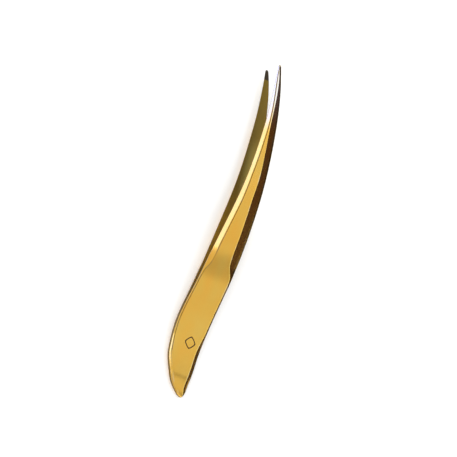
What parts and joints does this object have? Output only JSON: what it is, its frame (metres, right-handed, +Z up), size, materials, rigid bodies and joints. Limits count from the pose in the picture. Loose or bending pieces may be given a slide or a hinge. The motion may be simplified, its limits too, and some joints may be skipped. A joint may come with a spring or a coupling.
{
  "type": "stamp tongs",
  "caption": "Sprung tongs of two ground arms welded at a flat, rounded butt, bowed apart and swept sideways to fine needle tips.",
  "frame": {"origin": "on the table, under the middle of the tongs lying on their lower arm", "axes": "+X runs from the butt to the tips along the table, +Y is to the left, +Z is up, close to the direction in which the arms open"},
  "size_m": [0.1202, 0.0164, 0.0129],
  "materials": {
    "gold_plated_steel": "polished spring steel under a thin gold-coloured plating",
    "weld_metal": "dull fused steel"
  },
  "bodies": {
    "heel": {"near_heel": "gold_plated_steel", "far_heel": "gold_plated_steel", "weld_nugget_rear": "weld_metal", "weld_nugget_front": "weld_metal"},
    "near_arm": {"near_blade": "gold_plated_steel"},
    "far_arm": {"far_blade": "gold_plated_steel"}
  },
  "joints": [
    {"name": "near_flex", "type": "hinge", "parent": "heel", "child": "near_arm", "pos_m": [-0.02396, -0.00077, 0.00407], "axis": [0, 1, 0], "range_deg": [0, 3.34], "stiffness_Nm_per_rad": 1.5},
    {"name": "far_flex", "type": "hinge", "parent": "heel", "child": "far_arm", "pos_m": [-0.02383, -0.00077, 0.00177], "axis": [0, -1, 0], "range_deg": [0, 3.34], "stiffness_Nm_per_rad": 1.5}
  ],
  "couplings": [
    {"joint": "far_flex", "follows": "near_flex", "ratio": 1}
  ]
}
